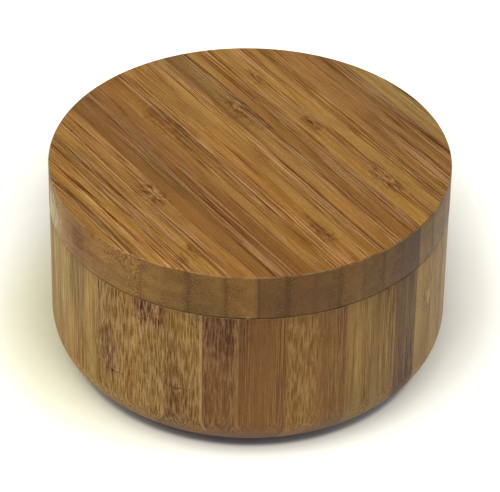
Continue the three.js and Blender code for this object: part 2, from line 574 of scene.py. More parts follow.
@dataclass(frozen=True)
class BambooFinish:
    """Oiled carbonised bamboo of one piece.

    Attributes:
        name: the material's name.
        layer: how its strips look.
        fibre: which way its fibres run.
        seams: its two glue planes, in metres along X.
        span: where the fibre starts and ends, in metres, for the change of tone along it.
        seed: moves the pattern, so that no two pieces are alike.
        eased: heights in metres between which a slanting face is a sanded edge.
    """

    name: str
    layer: Layer
    fibre: Fibre
    seams: Point
    span: Point
    seed: int
    eased: Point

    PIECE_SHIFT = 29.1
    STRIP_SHIFT = 41.0
    SIDE_SHIFT = 0.23
    GLUE = "6a4726"
    GLUE_LINE = 0.07
    FAR = 99.0
    GLUE_DEPTH = 0.6
    EDGE_JOINT = 0.03
    BREAKS = ((0.3, 0.3, 0.05), 3.0, 0.6)
    RAGS = ((0.5, 0.5, 0.5), 3.0, 0.6)
    RAGGED = 1.3
    HEART_RAGGED = 0.6
    CRACK_WANDER = 5.0
    CRACK_WIDTH = (0.05, 0.4)
    HEART_AND_GLARE = "c6b782"
    RIND = "c8a266"
    RIND_PLACE = (0.1, 0.4, 0.8)
    RIND_ON_END = 0.2
    CRACK = "86683f"
    CRACK_SHEEN = 0.02
    # A pale sanded edge along the eased top edge: partly wear, partly a painted highlight.
    WORN_AND_HIGHLIT = "c9a36a"
    WEAR_AND_HIGHLIGHT = 0.28
    WORN_ROUGHNESS = 0.42
    SHEEN = 0.32
    RELIEF = 0.05 * MM
    STAINED_SHEEN = {Fibre.ALONG_LID: 0.06, Fibre.UPRIGHT: 0.3}
    END_FACING = {Fibre.ALONG_LID: (0.2, 0.6), Fibre.UPRIGHT: (0.25, 0.65)}
    SIDE_SHARE = {Fibre.ALONG_LID: 0.6, Fibre.UPRIGHT: 0.0}
    END_TINT = {Fibre.ALONG_LID: "b4b7b2", Fibre.UPRIGHT: "e5ddc4"}
    END_MARKS = {Fibre.ALONG_LID: 0.48, Fibre.UPRIGHT: 0.12}
    END_SEAM = {Fibre.ALONG_LID: 0.48, Fibre.UPRIGHT: 0.2}
    SOAK = "d6baa2"
    # Painted shade on the bowl's wall just under the lid: how dark it gets, and the drops below the rim, in
    # millimetres, over which it deepens.
    UNDER_LID_SHADE = 0.86
    UNDER_LID_SHADE_REACH = (3.2, 0.1)
    BACKING_TONES = (Tone.STRAW, Tone.RUSSET)
    BACKING_SHADE = 0.95

    def build(self, figure: bpy.types.NodeTree) -> bpy.types.Material:
        """Makes the material.

        Args:
            figure: the shared figure of bamboo.

        Returns:
            The material.
        """
        material, sheet, shader = ShaderSheet.material(self.name)
        coordinates = sheet.node("TexCoord").outputs
        place = sheet.scaled(coordinates["Object"], 1 / MM)
        axes = sheet.split(place)
        facing = [sheet.math("ABSOLUTE", v) for v in sheet.split(coordinates["Normal"])]
        group = sheet.node("Group", node_tree=figure)

        feeds = self.feeds(sheet, axes)
        middle, half = sum(self.seams) / 2 / MM, (self.seams[1] - self.seams[0]) / 2 / MM
        across = sheet.less(axes[0], middle)
        depth, along = axes[3 - self.fibre.value], axes[self.fibre.value]
        shift = sheet.join(sheet.times(feeds["Shift"], self.SIDE_SHIFT), 0.0, feeds["Shift"])
        own_place = sheet.vector("ADD", sheet.join(across, depth, along), shift)
        skin = sheet.times(sheet.times(across, feeds["Skin side"]), 0.5 / half)
        stain, heart, crack, churn = self.knots(sheet, place)
        cut = sheet.between(facing[self.fibre.value], *self.END_FACING[self.fibre])
        cut = sheet.most(cut, sheet.between(facing[2], 0.5, 0.2, 0.0, self.SIDE_SHARE[self.fibre]))
        inputs = {
            "Place": own_place,
            "Skin": sheet.total(skin, 0.5, clamp=True),
            "Stain": sheet.most(stain, feeds["Node"]),
            "Churn": sheet.most(churn, sheet.times(feeds["Node"], 0.7)),
            "End grain": cut,
            "End marks": self.END_MARKS[self.fibre],
            "End tint": srgb(self.END_TINT[self.fibre]),
            **{name: feeds[name] for name in ("Pale", "Deep", "Dash", "Contrast", "End shade")},
        }
        colour = sheet.fed(group, inputs, "Colour")

        rind = sheet.times(self.rind(sheet, axes[1]), sheet.lean(cut, 1.0, self.RIND_ON_END))
        colour = sheet.mix(rind, colour, srgb(self.RIND))
        # Pale hearts of knots, which on the lid's first strip include a painted highlight.
        colour = sheet.mix(heart, colour, srgb(self.HEART_AND_GLARE))
        colour = sheet.tint(crack, colour, self.CRACK)
        broken = sheet.between(sheet.noise(own_place, *self.BREAKS), 0.38, 0.6, 0.2, 1.0)
        glue, soaked = self.glue(sheet, axes, cut)
        colour = sheet.tint(soaked, colour, self.SOAK)
        colour = sheet.mix(sheet.times(glue, sheet.times(broken, self.GLUE_DEPTH)), colour, srgb(self.GLUE))
        # Painted shade: the bowl's wall darkens towards the rim, in a band just under the lid's edge.
        if self.fibre is Fibre.UPRIGHT:
            low, high = (self.eased[1] / MM - drop for drop in self.UNDER_LID_SHADE_REACH)
            colour = sheet.scaled(colour, sheet.between(axes[2], low, high, 1.0, self.UNDER_LID_SHADE))
        # Painted highlight along the eased edge, mixed with wear: a paler colour and a lower roughness there.
        wear_and_highlight = sheet.times(self.wear_and_highlight(sheet, axes[2], facing[2]), broken)
        colour = sheet.mix(sheet.times(wear_and_highlight, self.WEAR_AND_HIGHLIGHT), colour, srgb(self.WORN_AND_HIGHLIT))
        sheen = sheet.lean(stain, self.SHEEN, self.STAINED_SHEEN[self.fibre])
        sheen = sheet.lean(crack, sheen, self.CRACK_SHEEN)
        sheet.feed(shader["Base Color"], colour)
        sheet.feed(shader["Specular IOR Level"], sheet.times(group.outputs["Sheen"], sheen))
        sheet.feed(shader["Roughness"], sheet.lean(wear_and_highlight, group.outputs["Roughness"], self.WORN_ROUGHNESS))
        sheet.feed(shader["Normal"], sheet.bump(group.outputs["Height"], self.RELIEF))
        return material

    def feeds(self, sheet: ShaderSheet, axes: Axes) -> dict:
        """What the figure is fed with at a place: the look of the strip that the place is in.

        Args:
            sheet: where the nodes go.
            axes: the place's X, Y and Z in millimetres.

        Returns:
            Numbers, colours or outputs by name.
        """
        start, end = (v / MM for v in self.span)
        share = sheet.between(axes[self.fibre.value], end, start)
        values = {}
        for turn, grain in enumerate(self.layer.grains):
            far = grain.far_tone or grain.tone
            own = {
                "Pale": sheet.mix(share, grain.tone.pale(grain.shade), far.pale(grain.shade)),
                "Deep": sheet.mix(share, grain.tone.deep(grain.shade), far.deep(grain.shade)),
                "Dash": grain.dash,
                "Contrast": grain.contrast,
                "Skin side": grain.skin,
                "End shade": grain.end,
                "Shift": self.seed * self.PIECE_SHIFT + turn * self.STRIP_SHIFT,
                "Node": 0.0,
            }
            values = self.joined(sheet, axes[1], self.layer.edges[turn - 1], values, own) if values else own
        if self.layer.backing is not None:
            values = self.joined(sheet, axes[1], self.layer.backing, values, self.backing(sheet, axes))
        return values

    def joined(self, sheet: ShaderSheet, y: Value, edge: float, front: dict, back: dict) -> dict:
        """What the figure is fed with on both sides of an edge joint.

        Args:
            sheet: where the nodes go.
            y: the place along Y in millimetres.
            edge: where the joint is.
            front: what it is fed with in front of the joint.
            back: what it is fed with behind it.

        Returns:
            Outputs by name.
        """
        past = sheet.between(y, edge - self.EDGE_JOINT, edge + self.EDGE_JOINT)
        blends = {name: sheet.mix if name in ("Pale", "Deep") else sheet.lean for name in front}
        return {name: blend(past, front[name], back[name]) for name, blend in blends.items()}

    def backing(self, sheet: ShaderSheet, axes: Axes) -> dict:
        """What the figure is fed with in the strips that the photograph doesn't show, each of its own tone.

        Args:
            sheet: where the nodes go.
            axes: the place's X, Y and Z in millimetres.

        Returns:
            Numbers, colours or outputs by name.
        """
        behind = sheet.total(axes[1], -self.layer.backing)
        turn = sheet.math("FLOOR", sheet.times(behind, 1 / Layer.BACKING_WIDTH))
        chance = sheet.node("TexWhiteNoise", noise_dimensions="2D")
        sheet.feed(chance.inputs["Vector"], sheet.join(turn, float(self.seed), 0.0))
        tone, dash, height = sheet.split(chance.outputs["Color"])
        light, dark = self.BACKING_TONES
        node_z = sheet.times(height, self.span[1] / MM)
        away = sheet.math("ABSOLUTE", sheet.less(axes[2], node_z))
        return {
            "Pale": sheet.mix(tone, light.pale(1.0), dark.pale(self.BACKING_SHADE)),
            "Deep": sheet.mix(tone, light.deep(1.0), dark.deep(self.BACKING_SHADE)),
            "Dash": sheet.between(dash, 0.3, 0.8),
            "Contrast": 0.9,
            "Skin side": sheet.between(height, 0.45, 0.55, -1.0, 1.0),
            "End shade": 1.0,
            "Shift": sheet.total(sheet.times(turn, self.STRIP_SHIFT), self.seed * self.PIECE_SHIFT),
            "Node": sheet.times(sheet.between(away, 0.5, 4.0, 0.9, 0.0), sheet.between(tone, 0.4, 0.5)),
        }

    def knots(self, sheet: ShaderSheet, place: Value) -> tuple[Value, ...]:
        """What the knots do to a place.

        Args:
            sheet: where the nodes go.
            place: the place, in millimetres.

        Returns:
            How stained, how pale, how cracked and how churned it is, 0 to 1 each.
        """
        rag = sheet.total(sheet.noise(place, *self.RAGS), -0.5)
        dark, pale, crack, churn = 0.0, 0.0, 0.0, 0.0
        for knot in (knot for grain in self.layer.grains for knot in grain.knots):
            away = sheet.vector("SUBTRACT", place, knot.at)
            reach = sheet.length(sheet.vector("MULTIPLY", away, tuple(2 / v for v in knot.size)))
            ragged = sheet.total(reach, sheet.times(rag, self.RAGGED))
            inside = sheet.between(ragged, 0.35, 1.05, 1.0, 0.0)
            dark = sheet.most(dark, sheet.times(inside, knot.depth))
            churn = sheet.most(churn, sheet.times(inside, knot.churn))
            if knot.heart:
                core = sheet.total(reach, sheet.times(rag, self.HEART_RAGGED))
                pale = sheet.most(pale, sheet.between(core, 0.10, 0.45, knot.heart, 0.0))
            if knot.crack:
                along = sheet.total(sheet.split(away)[self.fibre.value], sheet.times(rag, self.CRACK_WANDER))
                line = sheet.between(sheet.math("ABSOLUTE", along), *self.CRACK_WIDTH, knot.crack, 0.0)
                line = sheet.times(line, sheet.between(ragged, 0.3, 0.8, 1.0, 0.0))
                crack = sheet.most(crack, line)
        return dark, pale, crack, churn

    def glue(self, sheet: ShaderSheet, axes: Axes, cut: Value) -> tuple[Socket, Socket]:
        """The glue lines at both cuts and at the edge joints.

        Args:
            sheet: where the nodes go.
            axes: the place's X, Y and Z in millimetres.
            cut: how much of end grain the place shows.

        Returns:
            How much of a glue line there is and how far it has soaked into end grain, 0 to 1.
        """
        low, high = (v / MM for v in self.seams)
        x, y, _ = axes
        gap = sheet.math("MINIMUM", sheet.less(x, low), sheet.less(high, x))
        for edge in self.layer.edges:
            gap = sheet.math("MINIMUM", gap, sheet.math("ABSOLUTE", sheet.less(y, edge)))
        if self.layer.backing is not None:
            behind = sheet.total(y, -self.layer.backing)
            in_front = sheet.between(behind, -0.2, -0.1, self.FAR, 0.0)
            joint = sheet.total(sheet.math("PINGPONG", behind, Layer.BACKING_WIDTH / 2), in_front)
            gap = sheet.math("MINIMUM", gap, joint)
        soaked = sheet.times(sheet.between(gap, 0.15, 1.0, self.END_SEAM[self.fibre], 0.0), cut)
        return sheet.between(gap, self.GLUE_LINE * 0.4, self.GLUE_LINE * 2, 1.0, 0.0), soaked

    def rind(self, sheet: ShaderSheet, y: Value) -> Value:
        """The pale lines behind the edge joints.

        Args:
            sheet: where the nodes go.
            y: the place along Y in millimetres.

        Returns:
            How much of a pale line there is, 0 to 1.
        """
        near, middle, far = self.RIND_PLACE
        share = 0.0
        for grain, edge in zip(self.layer.grains[1:], self.layer.edges):
            if grain.rind:
                inward = sheet.total(y, -edge)
                fading = sheet.between(inward, middle, far, 1.0, 0.0)
                line = sheet.times(sheet.between(inward, 0.0, near), fading)
                share = sheet.total(share, sheet.times(line, grain.rind))
        return share

    def wear_and_highlight(self, sheet: ShaderSheet, z: Value, upward: Value) -> Socket:
        """The sanded edge, which is drawn paler: partly wear, partly a painted highlight.

        Args:
            sheet: where the nodes go.
            z: the place's height in millimetres.
            upward: how far the face looks up or down, 0 to 1.

        Returns:
            How much of a sanded edge there is, 0 to 1.
        """
        low, high = (v / MM for v in self.eased)
        slanting = sheet.times(sheet.between(upward, 0.1, 0.4), sheet.between(upward, 0.98, 0.8))
        inside = sheet.times(sheet.math("GREATER_THAN", z, low), sheet.math("LESS_THAN", z, high))
        return sheet.times(slanting, inside)


@dataclass(frozen=True)
class MetalFinish:
    """Bare or plated metal with fine turning marks round a vertical axis.

    Attributes:
        name: the material's name.
        colour: its colour as a hex code.
        roughness: how dull it is.
        marks: depth of the turning marks, in metres.
    """

    name: str
    colour: str
    roughness: float
    marks: float

    RINGS = ((9.0, 9.0, 9.0), 3.0)
    SMUDGES = ((0.6, 0.6, 0.6), 3.0, 0.6)
    SMUDGE = "8f8c86"
    DULLNESS = (0.8, 1.3)

    def build(self, axis: Point) -> bpy.types.Material:
        """Makes the material.

        Args:
            axis: where the piece's vertical axis stands, in metres.

        Returns:
            The material.
        """
        material, sheet, shader = ShaderSheet.material(self.name)
        shader["Metallic"].default_value = 1.0
        place = sheet.vector("SUBTRACT", sheet.node("TexCoord").outputs["Object"], (*axis, 0.0))
        place = sheet.scaled(place, 1 / MM)
        x, y, z = sheet.split(place)
        radius = sheet.length(sheet.join(x, y, 0.0))
        rings = sheet.noise(sheet.join(radius, 0.0, z), *self.RINGS)
        smudge = sheet.noise(place, *self.SMUDGES)
        colour = sheet.mix(sheet.between(smudge, 0.35, 0.7, 0.0, 0.35), srgb(self.colour), srgb(self.SMUDGE))
        sheet.feed(shader["Base Color"], colour)
        dull = sheet.between(smudge, 0.3, 0.7, *(self.roughness * share for share in self.DULLNESS))
        sheet.feed(shader["Roughness"], dull)
        sheet.feed(shader["Normal"], sheet.bump(rings, self.marks))
        return material


class Bench:
    """The modelling operators, used as by hand."""

    CUT = 0.0005 * MM
    HOLE_SIDES = 64

    @staticmethod
    def clear() -> None:
        """Deselects every object."""
        bpy.ops.object.select_all(action="DESELECT")

    @staticmethod
    def pick(piece: bpy.types.Object) -> None:
        """Selects one object alone and makes it active."""
        Bench.clear()
        piece.select_set(True)
        bpy.context.view_layer.objects.active = piece

    @staticmethod
    def edit() -> None:
        """Opens the active mesh for editing, with all of it selected."""
        bpy.ops.object.mode_set(mode="EDIT")
        bpy.ops.mesh.select_all(action="SELECT")

    @staticmethod
    def leave() -> None:
        """Ends editing."""
        bpy.ops.object.mode_set(mode="OBJECT")

    @staticmethod
    def arc(centre: Point, reach: Point, start: float, end: float, steps: int) -> list[Point]:
        """Points on an arc of an upright ellipse.

        Args:
            centre: its centre, as radius and height.
            reach: its half axes.
            start: first angle, in degrees.
            end: last angle, in degrees.
            steps: how many stretches it has.

        Returns:
            The points, both ends included.
        """
        points = []
        for i in range(steps + 1):
            angle = math.radians(start + (end - start) * i / steps)
            points.append((centre[0] + reach[0] * math.cos(angle), centre[1] + reach[1] * math.sin(angle)))
        return points

    @staticmethod
    def turn(name: str, profile: list[Point], steps: int) -> bpy.types.Object:
        """A solid turned about the pot's axis: a point is drawn out along the profile, and the line is spun.

        Args:
            name: the object's name.
            profile: points of radius and height, from the axis back to the axis.
            steps: how many steps the turn has.

        Returns:
            The solid.
        """
        Bench.clear()
        bpy.ops.mesh.primitive_plane_add(size=MM, location=(0, 0, 0))
        solid = bpy.context.object
        solid.name = name
        Bench.edit()
        bpy.ops.mesh.merge(type="CENTER")
        bpy.ops.transform.translate(value=(profile[0][0], 0, profile[0][1]))
        for (r0, z0), (r1, z1) in zip(profile, profile[1:]):
            bpy.ops.mesh.extrude_region_move(TRANSFORM_OT_translate={"value": (r1 - r0, 0, z1 - z0)})
        bpy.ops.mesh.select_all(action="SELECT")
        bpy.ops.mesh.spin(steps=steps, angle=math.tau, center=(0, 0, 0), axis=(0, 0, 1))
        bpy.ops.mesh.select_all(action="SELECT")
        bpy.ops.mesh.remove_doubles(threshold=WELD)
        bpy.ops.mesh.dissolve_limited(angle_limit=FLAT)
        bpy.ops.mesh.select_all(action="SELECT")
        bpy.ops.mesh.normals_make_consistent(inside=False)
        Bench.leave()
        return solid

    @staticmethod
    def saw(blank: bpy.types.Object, name: str, low: float, high: float) -> bpy.types.Object:
        """One layer of a blank, between two planes across X.

        Args:
            blank: the whole turned blank, which stays.
            name: the layer's name.
            low: its lower plane, in metres.
            high: its upper plane.

        Returns:
            The layer, with both cuts closed.
        """
        layer = blank.copy()
        layer.data = blank.data.copy()
        layer.name = layer.data.name = name
        bpy.context.scene.collection.objects.link(layer)
        Bench.pick(layer)
        bpy.ops.object.mode_set(mode="EDIT")
        for place, keep_above in ((low, True), (high, False)):
            bpy.ops.mesh.select_all(action="SELECT")
            bpy.ops.mesh.bisect(
                plane_co=(place, 0, 0),
                plane_no=(1, 0, 0),
                use_fill=True,
                clear_inner=keep_above,
                clear_outer=not keep_above,
                threshold=Bench.CUT,
            )
        bpy.ops.mesh.select_all(action="SELECT")
        bpy.ops.mesh.normals_make_consistent(inside=False)
        Bench.leave()
        return layer

    @staticmethod
    def drill(piece: bpy.types.Object, centre: Point, radius: float, low: float, high: float) -> None:
        """Cuts an upright round hole in a piece.

        Args:
            piece: the piece to cut.
            centre: the hole's axis.
            radius: its radius.
            low: where it starts.
            high: where it ends.
        """
        Bench.clear()
        middle = (centre[0], centre[1], (low + high) / 2)
        bpy.ops.mesh.primitive_cylinder_add(
            vertices=Bench.HOLE_SIDES, radius=radius, depth=high - low, location=middle
        )
        drill = bpy.context.object
        Bench.pick(piece)
        cut = piece.modifiers.new("hole", "BOOLEAN")
        cut.operation = "DIFFERENCE"
        cut.object = drill
        cut.solver = "EXACT"
        bpy.ops.object.modifier_apply(modifier=cut.name)
        bpy.data.objects.remove(drill)
        Bench.edit()
        bpy.ops.mesh.remove_doubles(threshold=WELD)
        Bench.leave()

    @staticmethod
    def smooth(piece: bpy.types.Object, angle: float = 32.0) -> None:
        """Shades a piece smooth, with edges over an angle in degrees kept sharp."""
        Bench.pick(piece)
        bpy.ops.object.shade_smooth_by_angle(angle=math.radians(angle))


DARK_TOP = Knot((-33.4, -38.4, 42.0), (18, 18, 24), 1.0, churn=0.15)
TOP_LEFT = Knot((-45.5, -24, 42.5), (14, 13, 14), 1.0)
LEFT_STAINS = (
    Knot((-50, -10.5, 25), (16, 9, 18), 0.62, churn=0.5),
    Knot((-49, -13.5, 19.2), (14, 8, 5), 0.4, 0.15, 0.8, 0.5),
    Knot((-50.3, -8.3, 24), (4, 1.0, 70), 0.8, churn=0.0),
)
LOW_STAINS = (
    Knot((-41.5, -29.5, 14.5), (11, 11, 13), 0.5, churn=0.1),
    Knot((-41, -30.5, 21.2), (9, 8, 5), 0.3, 0.1, 0.8, 0.2),
)
UNDER_RIM = Knot((-9, -50, 44), (10, 10, 26), 0.35, churn=0.0)
UNDER_RIM_RIGHT = Knot((6.5, -50.5, 44), (10, 10, 30), 0.4, churn=0.0)
DARK_FOOT = Knot((15, -47, 7), (12, 12, 42), 1.0, churn=0.0)
PALE_SPOT = Knot((24.7, -44.5, 33), (8, 12, 15), 0.35, 0.35)

BOWL_LAYERS = (
    Layer(
        (
            Grain(Tone.TAN, shade=0.92, dash=1.0, contrast=0.72, skin=-1, knots=(TOP_LEFT,)),
            Grain(Tone.TAN, shade=0.98, dash=1.0, contrast=0.72, skin=-1, knots=LEFT_STAINS),
            Grain(Tone.SAGE, shade=1.22, dash=0.2, contrast=0.8, skin=-1),
            Grain(Tone.LICHEN, Tone.TAN, shade=1.36, contrast=0.8, skin=-1),
        ),
        (-20.3, -8.0, -2.0),
        17.0,
    ),
    Layer(
        (
            Grain(Tone.RUSSET, shade=0.72, dash=0.7, contrast=0.55, knots=(DARK_TOP,)),
            Grain(Tone.TAN, Tone.CHESTNUT, 0.79, 0.9, 0.68, skin=-1, rind=0.42, knots=LOW_STAINS),
        ),
        (-35.0,),
        -22.6,
    ),
    Layer(
        (
            Grain(Tone.RUSSET, shade=0.76, dash=0.15, contrast=0.5),
            Grain(Tone.RUSSET, shade=0.7, dash=0.7, contrast=0.5, rind=0.14, knots=(DARK_TOP,)),
        ),
        (-41.0,),
        -28.8,
    ),
    Layer((Grain(Tone.RUSSET, shade=0.71, dash=0.15, contrast=0.52),), (), -24.0),
    Layer((Grain(Tone.HONEY, shade=0.7, dash=0.8, contrast=0.55),), (), -27.0),
    Layer((Grain(Tone.CHESTNUT, shade=0.72, dash=0.35, contrast=0.5, knots=(UNDER_RIM,)),), (), -23.0),
    Layer((Grain(Tone.ASH, shade=0.87, contrast=0.68),), (), -25.0),
    Layer((Grain(Tone.TAN, Tone.ASH, 0.79, dash=0.1, contrast=0.68, knots=(UNDER_RIM_RIGHT,)),), (), -28.0),
    Layer((Grain(Tone.WALNUT, shade=0.64, dash=0.2, contrast=0.5, knots=(DARK_FOOT,)),), (), -24.0),
    Layer((Grain(Tone.ASH, shade=0.92, dash=0.2, contrast=0.6, knots=(PALE_SPOT,)),), (), -21.0),
    Layer((Grain(Tone.ASH, shade=0.9, dash=0.3, contrast=0.6),), (), -26.0),
    Layer((Grain(Tone.ASH, shade=0.95, dash=0.2, contrast=0.7),), (), -23.0),
    Layer((Grain(Tone.CHESTNUT, dash=0.7, contrast=0.7),), (), -19.8),
)

LID_KNOTS = {
    1: (
        Knot((-50.5, -1, 52), (9, 26, 16), 0.4, churn=0.1),
        Knot((-50.9, 0, 52), (5, 11, 9), 0.7, churn=0.4),
        # Painted highlight: a wide pale heart that lightens the rim's left edge and the lid's top beside it,
        # standing in for glare.
        Knot((-47, 23, 49.5), (60, 76, 42), 0.0, 1.0, churn=0.0),
    ),
    3: (
        Knot((-34, -26, 57), (2.6, 9, 9), 1.0, churn=0.3),
        Knot((-38, -27, 57), (3, 8, 9), 1.0, churn=0.3),
    ),
    4: (
        Knot((-29.1, -0.7, 57), (9, 14, 9), 0.6, 0.2, churn=0.9),
        # A tiny pale spot on the front of the lid's lower edge.
        Knot((-28.4, -42.2, 45.7), (4, 3, 1.4), 0.0, 0.9, churn=0.0),
    ),
    7: (Knot((-9.7, 25, 57), (8, 24, 9), 0.75, churn=0.25),),
    8: (Knot((-3.2, -37, 57), (6, 14, 9), 0.8, churn=0.4),),
    10: (
        Knot((10.4, 19, 57), (8.5, 26, 9), 0.65, churn=0.35),
        Knot((10.6, 21.5, 57), (7, 11, 9), 0.75, 0.28, churn=1.0),
    ),
    12: (
        Knot((23.6, -26, 57), (8, 20, 9), 0.42, churn=1.0),
        Knot((21.8, 4.0, 57), (4, 10, 9), 1.0, churn=0.6),
        Knot((21.5, 29.8, 57), (4, 10, 9), 0.7),
    ),
}

LID_GRAINS = (
    Grain(Tone.HONEY, shade=0.99, contrast=1.2, end=1.62, knots=LID_KNOTS[1]),
    Grain(Tone.HONEY, Tone.STRAW, shade=1.12, contrast=1.15, skin=0.3, end=1.04),
    Grain(Tone.HONEY, shade=1.01, contrast=1.1, skin=-1, end=1.22, knots=LID_KNOTS[3]),
    Grain(Tone.AMBER, shade=0.96, skin=-1, end=1.55, knots=LID_KNOTS[4]),
    Grain(Tone.RUSSET, shade=0.91, contrast=0.8, end=1.3),
    Grain(Tone.RUSSET, shade=1.08, contrast=0.85, skin=-1, end=1.12),
    Grain(Tone.CHESTNUT, shade=1.15, knots=LID_KNOTS[7]),
    Grain(Tone.STRAW, Tone.AMBER, shade=1.17, skin=-1, end=1.02, knots=LID_KNOTS[8]),
    Grain(Tone.HONEY, shade=1.05, end=0.88),
    Grain(Tone.OLIVE, Tone.AMBER, shade=0.96, end=0.85, knots=LID_KNOTS[10]),
    Grain(Tone.HONEY, Tone.RUSSET, shade=1.02, end=0.7),
    Grain(Tone.HONEY, shade=1.19, end=0.92, knots=LID_KNOTS[12]),
    Grain(Tone.HONEY, shade=1.04, end=1.12),
    Grain(Tone.AMBER, shade=0.95, end=1.22),
    Grain(Tone.CHESTNUT, shade=0.89, end=1.34),
    Grain(Tone.ASH, shade=1.2, end=1.1),
)


@dataclass
class Turned:
    """A blank turned about the pot's axis and sawn across X into layers. Sizes are in metres."""

    body: str
    blank: str
    node: str
    piece: str
    magnet: str
    fibre: Fibre
    layers: tuple[Layer, ...]
    first_seed: int = 0
    pin_clearance: float = 0.05 * MM
    pocket_clearance: float = 0.1 * MM
    end_clearance: float = 0.3 * MM
    steps: int = 256
    radius: float = field(init=False)
    low: float = field(init=False)
    high: float = field(init=False)
    ease: float = field(init=False)
    span: Point = field(init=False)

    def profile(self) -> list[Point]:
        """The outline from the axis back to the axis, which each blank has its own of."""
        raise NotImplementedError

    def hole(self, low: float, high: float) -> Point:
        """Where the hole for metal between two heights starts and ends, on each blank its own way."""
        raise NotImplementedError

    def build(self, figure: bpy.types.NodeTree) -> None:
        """Turns the blank, saws it into layers and dresses each one.

        Args:
            figure: the shared figure of bamboo.
        """
        blank = Bench.turn(self.blank, self.profile(), self.steps)
        eased = (self.high - self.ease, self.high)
        for number, layer in enumerate(self.layers, start=1):
            node = f"{self.node}_{number:02d}"
            low, high = (corner.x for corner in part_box(node))
            piece = Bench.saw(blank, f"{self.piece}_{number:02d}", low, high)
            self.drill(piece, low, high)
            Bench.smooth(piece)
            name, seed = f"bamboo_{piece.name}", self.first_seed + number
            finish = BambooFinish(name, layer, self.fibre, (low, high), self.span, seed, eased)
            piece.data.materials.append(finish.build(figure))
            dress(piece, node, self.body)
        bpy.data.objects.remove(blank)

    def drill(self, piece: bpy.types.Object, low: float, high: float) -> None:
        """Cuts the pin's hole and the magnet's pocket where they meet a piece.

        Args:
            piece: the piece.
            low: its lower plane across X.
            high: its upper plane.
        """
        for metal, clearance in (("pivot_pin", self.pin_clearance), (self.magnet, self.pocket_clearance)):
            near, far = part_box(metal)
            radius = (far.x - near.x) / 2 + clearance
            centre = ((near.x + far.x) / 2, (near.y + far.y) / 2)
            if low < centre[0] + radius and high > centre[0] - radius:
                Bench.drill(piece, centre, radius, *self.hole(near.z, far.z))


@dataclass
class Bowl(Turned):
    """The turned bowl: its profile and its plies, from -X to +X. Sizes are in metres."""

    body: str = "pot"
    blank: str = "bowl_blank"
    node: str = "body_ply"
    piece: str = "bowl_ply"
    magnet: str = "body_magnet"
    fibre: Fibre = Fibre.UPRIGHT
    layers: tuple[Layer, ...] = BOWL_LAYERS
    wall: float = 9.9 * MM
    floor: float = 9.0 * MM
    corner: Point = (16.5 * MM, 13.5 * MM)
    inner_corner: float = 12.0 * MM
    rim_ease: float = 0.25 * MM
    corner_steps: int = 20
    inner_steps: int = 14
    ease_steps: int = 5

    def __post_init__(self) -> None:
        """Reads the outer sizes from the frame."""
        self.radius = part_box("body_ply_13")[1].x
        self.low, self.high = 0.0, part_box("body_ply_07")[1].z
        self.ease = self.rim_ease
        self.span = (self.low, self.high)

    def profile(self) -> list[Point]:
        """The outline from the middle of the foot, up the wall, over the rim and down to the floor."""
        bore = self.radius - self.wall
        ease, inner = self.rim_ease, self.inner_corner
        across, rise = self.corner
        return [
            (0.0, 0.0),
            *Bench.arc((self.radius - across, rise), self.corner, -90, 0, self.corner_steps),
            *Bench.arc((self.radius - ease, self.high - ease), (ease, ease), 0, 90, self.ease_steps),
            *Bench.arc((bore + ease, self.high - ease), (ease, ease), 90, 180, self.ease_steps),
            *Bench.arc((bore - inner, self.floor + inner), (inner, inner), 0, -90, self.inner_steps),
            (0.0, self.floor),
        ]

    def hole(self, low: float, high: float) -> Point:
        """From a little under the pin or magnet to above the rim."""
        return low - self.end_clearance, self.high + MM


@dataclass
class Lid(Turned):
    """The flat lid and its strips, from -X to +X. Sizes are in metres."""

    body: str = "lid"
    blank: str = "lid_blank"
    node: str = "lid_strip"
    piece: str = "lid_stave"
    magnet: str = "lid_magnet"
    fibre: Fibre = Fibre.ALONG_LID
    layers: tuple[Layer, ...] = tuple(Layer((grain,)) for grain in LID_GRAINS)
    first_seed: int = 40
    top_ease: float = 0.4 * MM
    bottom_ease: float = 0.3 * MM
    top_steps: int = 6
    bottom_steps: int = 4

    def __post_init__(self) -> None:
        """Reads the outer sizes from the frame."""
        last_low, last_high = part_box("lid_strip_16")
        self.radius = last_high.x
        self.low, self.high = last_low.z, last_high.z
        self.ease = self.top_ease
        self.span = (-self.radius, self.radius)

    def profile(self) -> list[Point]:
        """The outline from the middle of the underside to the middle of the top."""
        under, over = self.bottom_ease, self.top_ease
        return [
            (0.0, self.low),
            *Bench.arc((self.radius - under, self.low + under), (under, under), -90, 0, self.bottom_steps),
            *Bench.arc((self.radius - over, self.high - over), (over, over), 0, 90, self.top_steps),
            (0.0, self.high),
        ]

    def hole(self, low: float, high: float) -> Point:
        """From below the lid to a little above the pin or magnet."""
        return self.low - MM, high + self.end_clearance


def dress(piece: bpy.types.Object, node: str, body: str) -> None:
    """Lets a piece stand for a node and ride on its body.

    Args:
        piece: the finished piece.
        node: the node that it stands for.
        body: the body that it rides on.
    """
    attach(piece, body)
    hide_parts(node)
    LOG.info("%s stands for %s on %s, %d faces", piece.name, node, body, len(piece.data.polygons))


